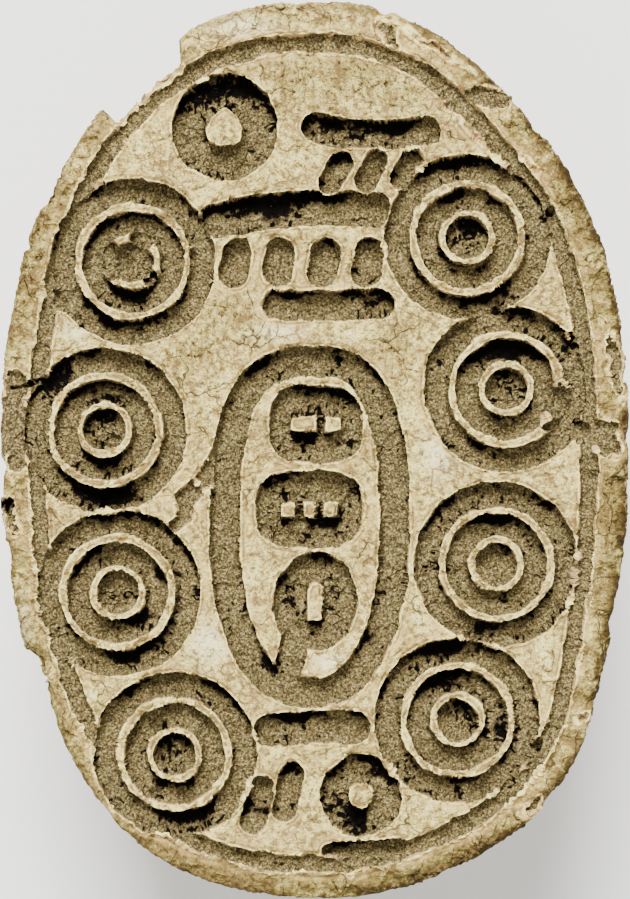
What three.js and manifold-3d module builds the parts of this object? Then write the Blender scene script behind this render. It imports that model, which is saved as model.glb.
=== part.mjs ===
// A scarab seal carved from one piece of soft stone: a beetle on an oval plate whose flat face is engraved.
// It lies on the beetle's back with the engraved face up, as it is laid down to show the seal.
// Units are millimetres. +Z is up, +Y points to the beetle's head and the top of the seal's design.
// The origin is under the middle of the oval, on the small worn flat that the back rests on.

import * as THREE from "three";
import { mergeVertices } from "three/addons/utils/BufferGeometryUtils.js";
import Module from "manifold-3d";

const wasm = await Module();
wasm.setup();

// Overall size
const LENGTH = 22.0;
const WIDTH = 15.4;
const HEIGHT = 9.2;

// The oval's outline, a superellipse that is fuller at the lower right and worn at the upper right
const OVAL_POWER = 2.21;
const FULL_CORNER = { angle: -53.4, spread: 15, rise: 0.49 };
const WORN_CORNER = { angle: 61.5, spread: 14, rise: -0.3 };
const LOWER_LEFT = { angle: -114, spread: 10, rise: 0.17 };

// Heights of the layers, from the back at 0 to the engraved face at HEIGHT
const SHELL_RIM_Z = 5.5;
const LEG_BAND_TOP_Z = 5.85;
const PLATE_UNDER_Z = 7.3;
const JOIN_DEPTH = 0.4;

// The plate's side, as shares of the oval: its underside, where the wall starts, and the worn top edge
const PLATE_SIDE = { under: 0.96, wall: 0.995, top: 0.985, roundUnder: 0.5, roundTop: 0.4 };

// The beetle's body, as shares of the oval
const SHELL_SHARE = 0.93;
const LEG_BAND_SHARE = 0.85;
const SHELL_POWER = 2.3;
const SHELL_RISE = 5.65;
const HEAD_SLOPE = { start: 2.0, end: 11.0, drop: 0.3 };
const HEAD_STEP = { start: 7.0, end: 7.8, drop: 0.6 };

// Engraving
const RING_DEPTH = 0.55;
const SIGN_DEPTH = 0.55;
const LINE_DEPTH = 0.4;
const WALL_SLOPE = 0.05;
const CUT_CLEARANCE = 0.3;

// One drilled motif, as radii from its centre: a pit, a thin ring, a groove, a second ring and a groove
const PIT_RADIUS = 0.49;
const INNER_GROOVE = [0.72, 1.2];
const OUTER_GROOVE = [1.46, 1.99];
const MOTIF_CENTRES = [
  [-4.45, 4.59],
  [-5.14, 0.48],
  [-4.82, -3.49],
  [-3.43, -7.45],
  [3.72, 5.18],
  [4.67, 1.48],
  [4.43, -2.8],
  [3.48, -6.6],
];

// Two single drilled circles, each round a worn boss: centre and the groove's two radii
const SMALL_CIRCLES = [
  { centre: [-2.2, 7.87], radii: [0.44, 1.27] },
  { centre: [1.13, -8.45], radii: [0.34, 0.96] },
];

// The border line inside the rim, and the long oval that frames the middle
const BORDER = { inset: 0.96, shift: [-0.05, -0.11], halfWidth: 0.2 };
const FRAME_OVAL = { centre: [-0.13, -1.9], half: [2.07, 4.04], power: [2.8, 2.3], groove: 0.34 };

// The three hollow cells inside the long oval, each round a raised bar: half sizes of cell and bar
const CELLS = [
  { centre: [0.02, 0.62], half: [1.1, 0.92], power: 3.2, bar: [0.64, 0.2] },
  { centre: [-0.13, -1.46], half: [1.28, 0.92], power: 3.2, bar: [0.72, 0.21] },
  { centre: [0.0, -3.72], half: [1.0, 1.18], power: 2, bar: [0.2, 0.5] },
];
const BAR_POWER = 5;

// Rows of plain shallow strokes where the seal has its signs: the row's ends, and each stroke's size
const STROKE_ROWS = [
  { from: [1.37, 7.82], to: [1.37, 7.82], count: 1, length: 2.7, lean: -2, bow: -0.3, halfWidth: 0.32 },
  { from: [0.5, 6.76], to: [2.25, 6.84], count: 3, length: 0.55, lean: 62, bow: 0, halfWidth: 0.25 },
  { from: [-0.5, 5.72], to: [-0.5, 5.72], count: 1, length: 3.9, lean: 4, bow: 0.3, halfWidth: 0.4 },
  { from: [-1.95, 4.56], to: [1.3, 4.56], count: 4, length: 0.48, lean: 80, bow: 0, halfWidth: 0.34 },
  { from: [0.3, 3.55], to: [0.3, 3.55], count: 1, length: 2.55, lean: 0, bow: -0.05, halfWidth: 0.32 },
  { from: [0.14, 0.62], to: [0.14, 0.62], count: 1, length: 0.7, lean: 90, bow: 0, halfWidth: 0.1 },
  { from: [-0.38, -1.46], to: [0.12, -1.46], count: 2, length: 0.7, lean: 90, bow: 0, halfWidth: 0.09 },
  { from: [-0.58, -5.1], to: [-0.58, -5.1], count: 1, length: 1.0, lean: 76, bow: 0, halfWidth: 0.32 },
  { from: [-0.08, -6.82], to: [-0.08, -6.82], count: 1, length: 2.1, lean: 2, bow: 0.1, halfWidth: 0.36 },
  { from: [-1.4, -8.68], to: [-0.66, -8.36], count: 2, length: 0.85, lean: 75, bow: 0, halfWidth: 0.28 },
  { from: [1.22, -9.76], to: [1.22, -9.76], count: 1, length: 1.7, lean: 4, bow: 0, halfWidth: 0.19 },
  { from: [-2.9, -1.17], to: [-2.9, -1.17], count: 1, length: 1.85, lean: 57, bow: 0, halfWidth: 0.11 },
];

// Breaks in the rim of the face: centre, half size across and along the rim, depth and turn in degrees
const RIM_BREAKS = [
  { centre: [-4.22, 9.2], half: [0.55, 1.5], depth: 1.5, turn: -43 },
  { centre: [-6.98, -5.35], half: [0.36, 0.66], depth: 1.3, turn: 22 },
  { centre: [-7.35, 0.3], half: [0.55, 0.95], depth: 0.45, turn: 4 },
  { centre: [4.05, 8.43], half: [0.85, 0.26], depth: 0.4, turn: 15 },
  { centre: [7.62, 2.2], half: [0.22, 0.95], depth: 0.9, turn: 6 },
];
const FACET_ALLOWANCE = 1.15;

// The beetle: lines on its back, the cuts beside the head, legs under the shell and the lengthwise hole
const BACK_LINE = { halfWidth: 0.2, depth: 0.26 };
const HEAD_LINE = { y: 7.3, halfSpan: 3.9, sag: 0.5, points: 7 };
const THORAX_LINE = { y: 3.1, halfSpan: 7.0, sag: 0.6, points: 9 };
const SUTURE = { start: 2.4, end: -9.6, points: 7 };
const SHOULDER_NICK = { from: [6.6, 2.7], to: [5.5, 1.5] };
const HEAD_SIDE = [
  [6.4, 6.9],
  [2.9, 7.7],
  [2.15, 9.2],
  [2.7, 11.2],
  [6.4, 11.2],
];
const CLYPEUS_NICK = { x: 0.85, halfAcross: 0.24, reach: 0.6 };
const LEG = { halfThick: 0.5, halfTall: 0.52, share: 0.88, points: 6, steps: 7 };
const LEG_SPANS = [
  { from: 70, to: 40, near: 6.85, far: 6.2 },
  { from: 30, to: -8, near: 6.25, far: 6.9 },
  { from: -20, to: -64, near: 6.25, far: 6.85 },
];
const HOLE = { radius: 0.9, z: 6.35, reach: 26 };

// Smoothness of the faceted solid
const PLATE_SEGMENTS = 72;
const SHELL_SEGMENTS = 44;
const MOTIF_SEGMENTS = 22;
const PIT_SEGMENTS = 10;
const LOOP_SEGMENTS = 26;
const CELL_SEGMENTS = 20;
const BAR_SEGMENTS = 10;
const BORDER_SEGMENTS = 48;
const SHELL_RINGS = 9;
const STROKE_SEGMENTS = 3;
const LEG_SEGMENTS = 4;
const HOLE_SEGMENTS = 16;
const MERGE_DISTANCE = 1e-4;

const radians = THREE.MathUtils.degToRad;
const smoothstep = THREE.MathUtils.smoothstep;

function bump({ angle, spread, rise }, degrees) {
  const away = ((((degrees - angle + 180) % 360) + 360) % 360) - 180;
  return rise * Math.exp(-((away / spread) ** 2));
}

// Distance from the centre to the oval's outline in one direction
function outlineRadius(angle) {
  const across = (2 * Math.abs(Math.cos(angle))) / WIDTH;
  const along = (2 * Math.abs(Math.sin(angle))) / LENGTH;
  const oval = (across ** OVAL_POWER + along ** OVAL_POWER) ** (-1 / OVAL_POWER);
  const degrees = THREE.MathUtils.radToDeg(angle);
  return [FULL_CORNER, WORN_CORNER, LOWER_LEFT].reduce((sum, one) => sum + bump(one, degrees), oval);
}

function pointOnOval(degrees, share, inset = 0) {
  const angle = radians(degrees);
  const radius = outlineRadius(angle) * share - inset;
  return new THREE.Vector2(radius * Math.cos(angle), radius * Math.sin(angle));
}

// Height of the beetle's back at a place, never below the flat that it rests on
function backZ(x, y) {
  const share = Math.hypot(x, y) / (outlineRadius(Math.atan2(y, x)) * SHELL_SHARE);
  const dome = (1 - Math.min(share, 1) ** SHELL_POWER) ** (1 / SHELL_POWER);
  const slope = 1 - HEAD_SLOPE.drop * smoothstep(y, HEAD_SLOPE.start, HEAD_SLOPE.end);
  const step = HEAD_STEP.drop * smoothstep(y, HEAD_STEP.start, HEAD_STEP.end);
  return Math.min(Math.max(SHELL_RIM_Z - SHELL_RISE * dome * slope + step, 0), SHELL_RIM_Z);
}

// A closed three.js geometry as a solid, turned the right way out
function solidFrom(geometry) {
  const bare = geometry.clone();
  bare.deleteAttribute("normal");
  bare.deleteAttribute("uv");
  const merged = mergeVertices(bare, MERGE_DISTANCE);
  const build = (triVerts) =>
    new wasm.Manifold(
      new wasm.Mesh({ numProp: 3, vertProperties: merged.attributes.position.array, triVerts }),
    );
  const triVerts = new Uint32Array(merged.index.array);
  const solid = build(triVerts);
  if (solid.volume() > 0) return solid;
  for (let i = 0; i < triVerts.length; i += 3) {
    [triVerts[i + 1], triVerts[i + 2]] = [triVerts[i + 2], triVerts[i + 1]];
  }
  return build(triVerts);
}

// A lathe turned upright and stretched from a unit circle to the oval
function ovalSolid(profile, segments, place) {
  const points = profile.map(([share, z]) => new THREE.Vector2(share, z));
  const geometry = new THREE.LatheGeometry(points, segments);
  geometry.rotateX(Math.PI / 2);
  const position = geometry.attributes.position;
  for (let i = 0; i < position.count; i += 1) {
    const x = position.getX(i);
    const y = position.getY(i);
    const share = Math.hypot(x, y);
    const radius = share * outlineRadius(Math.atan2(y, x));
    const scale = share > 0 ? radius / share : 0;
    position.setXYZ(i, x * scale, y * scale, place(x * scale, y * scale, position.getZ(i)));
  }
  return solidFrom(geometry);
}

function makePlate() {
  const { under, wall, top, roundUnder, roundTop } = PLATE_SIDE;
  const profile = [
    [0, PLATE_UNDER_Z],
    [under, PLATE_UNDER_Z],
    [wall, PLATE_UNDER_Z + roundUnder],
    [1, HEIGHT - roundTop],
    [top, HEIGHT],
    [0, HEIGHT],
  ];
  return ovalSolid(profile, PLATE_SEGMENTS, (x, y, z) => z);
}

// The shell's points below the ground are laid on the back, and the others keep their heights
function makeShell() {
  const below = -1;
  const dome = Array.from({ length: SHELL_RINGS + 1 }, (_, i) => {
    const share = Math.sin((i / SHELL_RINGS) * (Math.PI / 2));
    return [share * SHELL_SHARE, below];
  });
  const profile = [
    ...dome,
    [LEG_BAND_SHARE, LEG_BAND_TOP_Z],
    [LEG_BAND_SHARE, PLATE_UNDER_Z + JOIN_DEPTH],
    [0, PLATE_UNDER_Z + JOIN_DEPTH],
  ];
  return ovalSolid(profile, SHELL_SEGMENTS, (x, y, z) => (z < 0 ? backZ(x, y) : z));
}

// A round groove's cutter, a little narrower at the bottom
function ringCutter([x, y], inner, outer, depth, segments) {
  const bottom = HEIGHT - depth;
  const top = HEIGHT + CUT_CLEARANCE;
  const profile = [
    [inner, top],
    [inner > 0 ? inner + WALL_SLOPE : 0, bottom],
    [outer - WALL_SLOPE, bottom],
    [outer, top],
    [inner, top],
  ];
  const geometry = new THREE.LatheGeometry(
    profile.map(([r, z]) => new THREE.Vector2(r, z)),
    segments,
  );
  return solidFrom(geometry.rotateX(Math.PI / 2).translate(x, y, 0));
}

function motifCutters(centre) {
  return [
    ringCutter(centre, 0, PIT_RADIUS, RING_DEPTH, PIT_SEGMENTS),
    ringCutter(centre, ...INNER_GROOVE, RING_DEPTH, MOTIF_SEGMENTS),
    ringCutter(centre, ...OUTER_GROOVE, RING_DEPTH, MOTIF_SEGMENTS),
  ];
}

// A cutter with straight walls, from the face down to a depth
function plainCutter(shape, depth) {
  const geometry = new THREE.ExtrudeGeometry(shape, {
    depth: depth + CUT_CLEARANCE,
    bevelEnabled: false,
    curveSegments: STROKE_SEGMENTS,
  });
  return solidFrom(geometry.translate(0, 0, HEIGHT - depth));
}

// The points of a closed loop, given as a function from an angle and a side step to a point
function loopPoints(pointAt, step, segments) {
  return Array.from({ length: segments }, (_, i) => pointAt((i / segments) * 360, step));
}

// A cutter between an outer and an inner loop
function hollowCutter(outer, inner, depth) {
  const shape = new THREE.Shape(outer);
  shape.holes.push(new THREE.Path(inner));
  return plainCutter(shape, depth);
}

// A superellipse loop round a centre, with one power for its upper half and one for its lower half
function superLoop([x, y], [halfWide, halfLong], [upper, lower]) {
  return (degrees, step) => {
    const cos = Math.cos(radians(degrees));
    const sin = Math.sin(radians(degrees));
    const power = sin > 0 ? upper : lower;
    return new THREE.Vector2(
      x + (halfWide + step) * Math.sign(cos) * Math.abs(cos) ** (2 / power),
      y + (halfLong + step) * Math.sign(sin) * Math.abs(sin) ** (2 / power),
    );
  };
}

// A stroke is a bowed bar with round ends
function strokeShape(centre, { length, lean, bow, halfWidth }) {
  const heading = radians(lean);
  const place = (along, across) =>
    new THREE.Vector2(along, across).rotateAround(new THREE.Vector2(), heading).add(centre);
  const half = length / 2;
  const [start, end] = [place(-half, 0), place(half, 0)];
  const [below, above] = [place(0, bow - halfWidth), place(0, bow + halfWidth)];
  const [lowStart, lowEnd] = [place(-half, -halfWidth), place(half, -halfWidth)];
  const highStart = place(-half, halfWidth);
  const quarter = Math.PI / 2;
  const shape = new THREE.Shape();
  shape.moveTo(lowStart.x, lowStart.y);
  shape.quadraticCurveTo(below.x, below.y, lowEnd.x, lowEnd.y);
  shape.absarc(end.x, end.y, halfWidth, heading - quarter, heading + quarter, false);
  shape.quadraticCurveTo(above.x, above.y, highStart.x, highStart.y);
  shape.absarc(start.x, start.y, halfWidth, heading + quarter, heading + 3 * quarter, false);
  return shape;
}

function strokeRowCutters(row) {
  const [from, to] = [new THREE.Vector2(...row.from), new THREE.Vector2(...row.to)];
  return Array.from({ length: row.count }, (_, i) => {
    const centre = from.clone().lerp(to, row.count > 1 ? i / (row.count - 1) : 0);
    return plainCutter(strokeShape(centre, row), SIGN_DEPTH);
  });
}

function cellCutter({ centre, half, power, bar }) {
  const cell = superLoop(centre, half, [power, power]);
  const island = superLoop(centre, bar, [BAR_POWER, BAR_POWER]);
  return hollowCutter(
    loopPoints(cell, 0, CELL_SEGMENTS),
    loopPoints(island, 0, BAR_SEGMENTS),
    SIGN_DEPTH,
  );
}

// The border's groove stops at the rings of the motifs beside it
function borderCutter() {
  const border = (degrees, step) =>
    pointOnOval(degrees, 1, BORDER.inset - step).add(new THREE.Vector2(...BORDER.shift));
  const [outer, inner] = [BORDER.halfWidth, -BORDER.halfWidth].map((step) =>
    loopPoints(border, step, BORDER_SEGMENTS),
  );
  const rings = MOTIF_CENTRES.map((centre) =>
    ringCutter(centre, 0, OUTER_GROOVE[0], RING_DEPTH, MOTIF_SEGMENTS),
  );
  return hollowCutter(outer, inner, LINE_DEPTH).subtract(wasm.Manifold.union(rings));
}

function frameCutter() {
  const frame = superLoop(FRAME_OVAL.centre, FRAME_OVAL.half, FRAME_OVAL.power);
  const [outer, inner] = [FRAME_OVAL.groove, -FRAME_OVAL.groove].map((step) =>
    loopPoints(frame, step, LOOP_SEGMENTS),
  );
  return hollowCutter(outer, inner, SIGN_DEPTH);
}

function engravingCutters() {
  return [
    ...MOTIF_CENTRES.flatMap(motifCutters),
    ...SMALL_CIRCLES.map(({ centre, radii }) =>
      ringCutter(centre, ...radii, SIGN_DEPTH, MOTIF_SEGMENTS),
    ),
    borderCutter(),
    frameCutter(),
    ...CELLS.map(cellCutter),
    ...STROKE_ROWS.flatMap(strokeRowCutters),
  ];
}

// A rough lump that is taken out of the rim
function breakCutter({ centre, half, depth, turn }) {
  const geometry = new THREE.IcosahedronGeometry(1, 1);
  geometry.scale(...[...half, depth].map((size) => size * FACET_ALLOWANCE));
  geometry.rotateZ(radians(turn));
  return solidFrom(geometry.translate(centre[0], centre[1], HEIGHT));
}

// A line cut into the beetle's back along points given on the plan
function backLineCutter(planPoints) {
  const section = new THREE.Shape();
  section.absellipse(0, 0, BACK_LINE.depth, BACK_LINE.halfWidth, 0, 2 * Math.PI);
  const path = new THREE.CatmullRomCurve3(
    planPoints.map(([x, y]) => new THREE.Vector3(x, y, backZ(x, y))),
  );
  const geometry = new THREE.ExtrudeGeometry(section, {
    steps: 2 * (planPoints.length - 1),
    curveSegments: STROKE_SEGMENTS,
    extrudePath: path,
  });
  return solidFrom(geometry);
}

function backLines() {
  const across = ({ y, halfSpan, sag, points }) =>
    Array.from({ length: points }, (_, i) => {
      const t = (2 * i) / (points - 1) - 1;
      return [halfSpan * t, y - sag * (1 - t * t)];
    });
  const suture = Array.from({ length: SUTURE.points }, (_, i) => [
    0,
    THREE.MathUtils.lerp(SUTURE.start, SUTURE.end, i / (SUTURE.points - 1)),
  ]);
  const nick = (side) => [SHOULDER_NICK.from, SHOULDER_NICK.to].map(([x, y]) => [side * x, y]);
  return [across(THORAX_LINE), across(HEAD_LINE), suture, nick(-1), nick(1)].map(backLineCutter);
}

// Cuts that free the head from the shell on both sides, and two small nicks in its front edge
function headCutters() {
  const sideShape = (side) =>
    new THREE.Shape(HEAD_SIDE.map(([x, y]) => new THREE.Vector2(side * x, y)));
  const nickShape = (side) => {
    const { x, halfAcross, reach } = CLYPEUS_NICK;
    const front = pointOnOval(90, SHELL_SHARE).y;
    return new THREE.Shape([
      new THREE.Vector2(side * x - halfAcross, front + reach),
      new THREE.Vector2(side * x, front - reach),
      new THREE.Vector2(side * x + halfAcross, front + reach),
    ]);
  };
  const depth = LEG_BAND_TOP_Z + 1;
  return [-1, 1]
    .flatMap((side) => [sideShape(side), nickShape(side)])
    .map((shape) => new THREE.ExtrudeGeometry(shape, { depth, bevelEnabled: false }))
    .map((geometry) => solidFrom(geometry.translate(0, 0, -1)));
}

// A leg is a bar laid along the band between shell and plate
function makeLeg(side, { from, to, near, far }) {
  const points = Array.from({ length: LEG.points }, (_, i) => {
    const t = i / (LEG.points - 1);
    const plan = pointOnOval(from + (to - from) * t, LEG.share);
    return new THREE.Vector3(side * Math.abs(plan.x), plan.y, near + (far - near) * t);
  });
  const section = new THREE.Shape();
  section.absellipse(0, 0, LEG.halfTall, LEG.halfThick, 0, 2 * Math.PI);
  const geometry = new THREE.ExtrudeGeometry(section, {
    steps: LEG.steps,
    curveSegments: LEG_SEGMENTS,
    extrudePath: new THREE.CatmullRomCurve3(points),
  });
  return solidFrom(geometry);
}

function makeHoleCutter() {
  const geometry = new THREE.CylinderGeometry(HOLE.radius, HOLE.radius, HOLE.reach, HOLE_SEGMENTS);
  return solidFrom(geometry.translate(0, 0, HOLE.z));
}

function makeScarab() {
  const legs = [-1, 1].flatMap((side) => LEG_SPANS.map((span) => makeLeg(side, span)));
  const backCuts = wasm.Manifold.union([...headCutters(), ...backLines()]);
  const blank = wasm.Manifold.union([makeShell().subtract(backCuts), makePlate(), ...legs]);
  const cuts = wasm.Manifold.union([
    ...engravingCutters(),
    ...RIM_BREAKS.map(breakCutter),
    makeHoleCutter(),
  ]);
  return blank.subtract(cuts);
}

function meshFrom(solid, name, material) {
  const { numProp, vertProperties, triVerts } = solid.getMesh();
  const count = vertProperties.length / numProp;
  const position = new Float32Array(count * 3);
  for (let i = 0; i < count; i += 1) {
    position.set(vertProperties.subarray(i * numProp, i * numProp + 3), i * 3);
  }
  const geometry = new THREE.BufferGeometry();
  geometry.setAttribute("position", new THREE.BufferAttribute(position, 3));
  geometry.setIndex(new THREE.BufferAttribute(triVerts, 1));
  geometry.computeVertexNormals();
  const mesh = new THREE.Mesh(geometry, material);
  mesh.name = name;
  return mesh;
}

const wornStone = new THREE.MeshStandardMaterial({
  color: new THREE.Color().setRGB(0.6, 0.53, 0.38),
  roughness: 0.8,
  metalness: 0,
  flatShading: true,
});

const seal = new THREE.Group();
seal.add(meshFrom(makeScarab(), "scarab", wornStone));

export default seal;
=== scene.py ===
# %% [markdown]
# A scarab seal is a beetle of soft stone, a little over two centimetres long, on an oval plate. The
# plate's flat side is engraved, and pressed into clay it leaves its mark. Here the seal lies on the
# beetle's back, so that the engraved face looks up at the camera.
#
# The CAD model is the frame. It gives the seal's box, and everything below is made inside that box.

# %% Load the frame
import math

import bpy
import numpy as np
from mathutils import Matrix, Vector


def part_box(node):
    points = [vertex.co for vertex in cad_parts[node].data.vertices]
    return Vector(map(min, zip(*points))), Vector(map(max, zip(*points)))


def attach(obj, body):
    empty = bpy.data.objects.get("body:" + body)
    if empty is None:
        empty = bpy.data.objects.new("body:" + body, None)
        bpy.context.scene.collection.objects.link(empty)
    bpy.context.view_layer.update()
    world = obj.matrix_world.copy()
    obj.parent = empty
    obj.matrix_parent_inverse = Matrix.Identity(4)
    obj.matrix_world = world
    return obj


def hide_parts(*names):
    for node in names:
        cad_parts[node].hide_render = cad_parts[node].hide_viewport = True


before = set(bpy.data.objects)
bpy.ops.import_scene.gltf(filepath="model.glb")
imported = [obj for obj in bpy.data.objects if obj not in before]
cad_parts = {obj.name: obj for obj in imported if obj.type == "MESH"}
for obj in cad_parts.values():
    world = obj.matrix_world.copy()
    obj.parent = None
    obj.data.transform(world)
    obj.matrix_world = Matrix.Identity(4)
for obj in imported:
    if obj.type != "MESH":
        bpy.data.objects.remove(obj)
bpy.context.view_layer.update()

MM = 0.001
node_low, node_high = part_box("scarab")
WIDTH, LENGTH, HEIGHT = ((high - low) / MM for low, high in zip(node_low, node_high))
print(f"the seal is {WIDTH:.2f} x {LENGTH:.2f} x {HEIGHT:.2f} mm")

# %% [markdown]
# The plate's outline isn't a plain ellipse. It is a superellipse, a little squarer than an ellipse, with
# a few soft bumps where the carver left more or less stone. Old breaks have bitten into the rim, a large
# one at the upper left, and so have many small chips. Each is written as a direction, a width and a depth
# that is taken off the distance from the middle, because such numbers are easier to change than a drawn
# curve. The weathering takes a little off every side later, so the blank starts that much wider.

# %% The oval's outline
OVAL_POWER = 2.21
OUTLINE_BUMPS = [(-53.4, 15, 0.49), (61.5, 14, -0.3), (-114, 10, 0.17)]
RIM_BREAKS = [(108.8, 121.6, 0.6, 0.7), (107.5, 138, 0.13, 2.2), (215.5, 223.5, 0.25, 1.2)]
CHIP_COUNT = 34
GRAIN_WAVES, GRAIN_DEPTH, GRAIN_RATES = 60, 0.03, (60, 500)
WEAR_ALLOWANCE = 0.06
chance = np.random.default_rng(7)


def bump(degrees, angle, spread, rise):
    """A soft rise round one direction."""
    away = (degrees - angle + 180) % 360 - 180
    return rise * np.exp(-((away / spread) ** 2))


def step(value, start, end):
    """A smooth change from nought to one."""
    t = np.clip((value - start) / (end - start), 0, 1)
    return t * t * (3 - 2 * t)


def oval_reach(angle):
    """Distance from the middle to the sound outline, in each direction."""
    across = 2 * np.abs(np.cos(angle)) / WIDTH
    along = 2 * np.abs(np.sin(angle)) / LENGTH
    oval = (across**OVAL_POWER + along**OVAL_POWER) ** (-1 / OVAL_POWER)
    return oval + sum(bump(np.degrees(angle), *one) for one in OUTLINE_BUMPS)


chips = [
    (chance.uniform(0, 360), chance.uniform(0.35, 1.6), chance.uniform(0.02, 0.09))
    for _ in range(CHIP_COUNT)
]
grain_shift = chance.uniform(0, 2 * math.pi, GRAIN_WAVES)
grain_rate = chance.integers(*GRAIN_RATES, GRAIN_WAVES)


def rim_grain(angle):
    """Fine unevenness of the edge, from many waves that close on themselves."""
    waves = sum(np.sin(rate * angle + shift) for rate, shift in zip(grain_rate, grain_shift))
    return GRAIN_DEPTH * (0.5 + 0.5 * waves / math.sqrt(GRAIN_WAVES)).clip(0, 1)


def plate_reach(angle):
    """The outline with its breaks and chips, and what the weathering will take off later."""
    degrees = np.degrees(angle) % 360
    reach = oval_reach(angle) + WEAR_ALLOWANCE
    for start, end, depth, soft in RIM_BREAKS:
        inside = step(degrees, start - soft, start + soft) * step(degrees, end + soft, end - soft)
        reach = reach - depth * inside
    return reach - sum(bump(degrees, *one) for one in chips) - rim_grain(angle)


print(f"{len(RIM_BREAKS)} breaks and {len(chips)} chips in the rim")

# %% [markdown]
# The body is a low dome, joined to the plate by a narrower band that the legs are carved on. Seen from
# below, the head is a short tab between two cuts, and its front edge has two small nicks. The dome is a
# superellipse again, this time in height, and it is worn flat where the seal lies on it.

# %% The beetle's body
SHELL_RIM_Z, BAND_TOP_Z, PLATE_UNDER_Z = 5.5, 5.85, 7.3
SHELL_SHARE, BAND_SHARE = 0.93, 0.85
SHELL_POWER, SHELL_RISE = 2.3, 5.65
HEAD_SLOPE = {"from_y": 2.0, "to_y": 11.0, "share": 0.3}
HEAD_STEP = {"from_y": 7.0, "to_y": 7.8, "rise": 0.6}
NECK = {"start": 12.3, "steep": 2.2, "end": 40, "depth": 1.45}
FRONT_NICKS = {"angle": 4.8, "spread": 1.2, "depth": 0.55}


def shell_reach(angle):
    """The beetle's outline, with the cuts beside the head and the nicks in its front edge."""
    from_head = np.abs((np.degrees(angle) - 90 + 180) % 360 - 180)
    neck = step(from_head, NECK["start"], NECK["start"] + NECK["steep"]) * (
        1 - step(from_head, NECK["start"] + NECK["steep"], NECK["end"])
    )
    nicks = bump(from_head, FRONT_NICKS["angle"], FRONT_NICKS["spread"], FRONT_NICKS["depth"])
    return oval_reach(angle) * SHELL_SHARE - NECK["depth"] * neck - nicks


def back_height(x, y):
    """Height of the beetle's back, never below the flat that it lies on."""
    share = np.hypot(x, y) / (oval_reach(np.arctan2(y, x)) * SHELL_SHARE)
    dome = (1 - np.minimum(share, 1) ** SHELL_POWER) ** (1 / SHELL_POWER)
    slope = 1 - HEAD_SLOPE["share"] * step(y, HEAD_SLOPE["from_y"], HEAD_SLOPE["to_y"])
    rise = HEAD_STEP["rise"] * step(y, HEAD_STEP["from_y"], HEAD_STEP["to_y"])
    return np.clip(SHELL_RIM_Z - SHELL_RISE * dome * slope + rise, 0, SHELL_RIM_Z)


print(f"the back is {back_height(0.0, 10.0):.2f} mm up under the head")
print(f"the back is {back_height(0.0, 0.0):.2f} mm up in the middle")

# %% [markdown]
# Before the engraving there is a smooth blank. It is built in rings of points, from the middle of the
# face out over the rim, down the plate's side, in along its underside, down the band, and over the shell
# to the middle of the back. Each ring of the face has six points more than the one inside it, so the
# points are equally close everywhere, and there are enough of them for cuts a tenth of a millimetre wide.
# Two rings with different counts are sewn together by always taking the next point of the ring that lags.

# %% Rings of points
FACE_RINGS = 300
SIDE_POINTS = 900
SHOULDER_SHARE, SHOULDER_DROP, SHOULDER_RINGS = 0.957, 0.45, 23
rings = []
ring_notes = []


def add_ring(count, reach, height, note=""):
    """One ring. Reach is a function of the angle, and height is a value or a function of the place."""
    angle = np.arange(count) / count * 2 * math.pi
    distance = reach(angle)
    x, y = distance * np.cos(angle), distance * np.sin(angle)
    z = height(x, y) if callable(height) else np.full(count, float(height))
    rings.append(np.column_stack([x, y, z]))
    ring_notes.append(note)


def share_of(function, share):
    return lambda angle: function(angle) * share


for k in range(1, FACE_RINGS + 1):
    add_ring(6 * k, share_of(plate_reach, SHOULDER_SHARE * k / FACE_RINGS), HEIGHT, "face")
for turn in np.linspace(0, math.pi / 2, SHOULDER_RINGS + 1)[1:]:
    share = SHOULDER_SHARE + (1 - SHOULDER_SHARE) * math.sin(turn)
    drop = SHOULDER_DROP * (1 - math.cos(turn))
    add_ring(6 * FACE_RINGS, share_of(plate_reach, share), HEIGHT - drop, "face")
print(f"the face has {sum(len(ring) for ring in rings)} points")

# %% The plate's side, the band and the shell
UNDER_ROUND = 0.45
TAPER_SHARE, UNDER_SHARE = 0.995, 0.96
LEDGE_ROWS, SHELL_ROWS = 14, 116
JUST_INSIDE = 1 - 1e-4


def side_rows(steps, reach_from, reach_to, z_from, z_to, note=""):
    """Rings that change evenly from one reach and height to the next."""
    for t in (np.arange(steps) + 1) / steps:
        z = z_from + (z_to - z_from) * t
        add_ring(
            SIDE_POINTS,
            lambda angle, t=t: reach_from(angle) * (1 - t) + reach_to(angle) * t,
            z,
            note,
        )


tapered, rounded = share_of(plate_reach, TAPER_SHARE), share_of(plate_reach, UNDER_SHARE)
band_reach = share_of(oval_reach, BAND_SHARE)
side_rows(16, plate_reach, tapered, HEIGHT - SHOULDER_DROP, PLATE_UNDER_Z + UNDER_ROUND)
side_rows(6, tapered, rounded, PLATE_UNDER_Z + UNDER_ROUND, PLATE_UNDER_Z)
side_rows(9, rounded, band_reach, PLATE_UNDER_Z, PLATE_UNDER_Z)
side_rows(26, band_reach, band_reach, PLATE_UNDER_Z, BAND_TOP_Z, note="band")
# No leg may grow on the last ring, because the ledge starts there.
ring_notes[-1] = ""

shell_edge = rings[-1]
for t in (np.arange(LEDGE_ROWS) + 1) / LEDGE_ROWS:
    angle = np.arange(SIDE_POINTS) / SIDE_POINTS * 2 * math.pi
    edge = shell_reach(angle) * JUST_INSIDE
    end_x, end_y = edge * np.cos(angle), edge * np.sin(angle)
    end = np.column_stack([end_x, end_y, back_height(end_x, end_y)])
    rings.append(shell_edge * (1 - t) + end * t)
    ring_notes.append("")

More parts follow.
